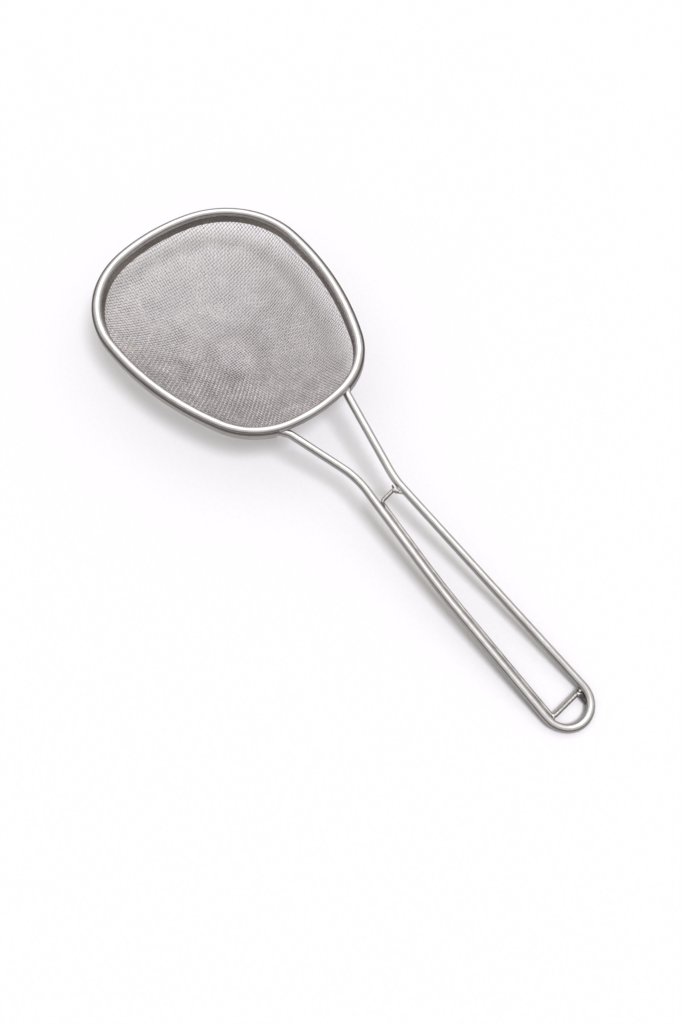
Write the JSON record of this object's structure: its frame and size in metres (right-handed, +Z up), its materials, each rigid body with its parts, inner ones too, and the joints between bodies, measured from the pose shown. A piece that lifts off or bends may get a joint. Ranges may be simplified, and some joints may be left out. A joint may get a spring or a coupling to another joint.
{
  "type": "tea strainer",
  "caption": "Wire-handled tea strainer: a shallow woven-wire bowl in a rolled rim, with a bent wire handle that ends in a hanging loop.",
  "frame": {"origin": "on the surface it rests on, under the middle of the strainer's bounding box", "axes": "+X along the handle towards the hanging loop, +Y across, +Z up; the rim lies level and the handle slopes down to the table"},
  "size_m": [0.1894, 0.0682, 0.0205],
  "materials": {
    "rim_steel": "polished stainless steel strip with fine lengthwise scratches",
    "mesh_steel": "plain-woven stainless steel wire cloth",
    "wire_steel": "bright drawn stainless steel wire"
  },
  "bodies": {
    "root": {"rim_core_wire": "rim_steel", "rim_band": "rim_steel", "rim_hoop": "rim_steel", "mesh_bowl": "mesh_steel", "handle_wire": "wire_steel", "brace_wire": "wire_steel"}
  },
  "joints": []
}
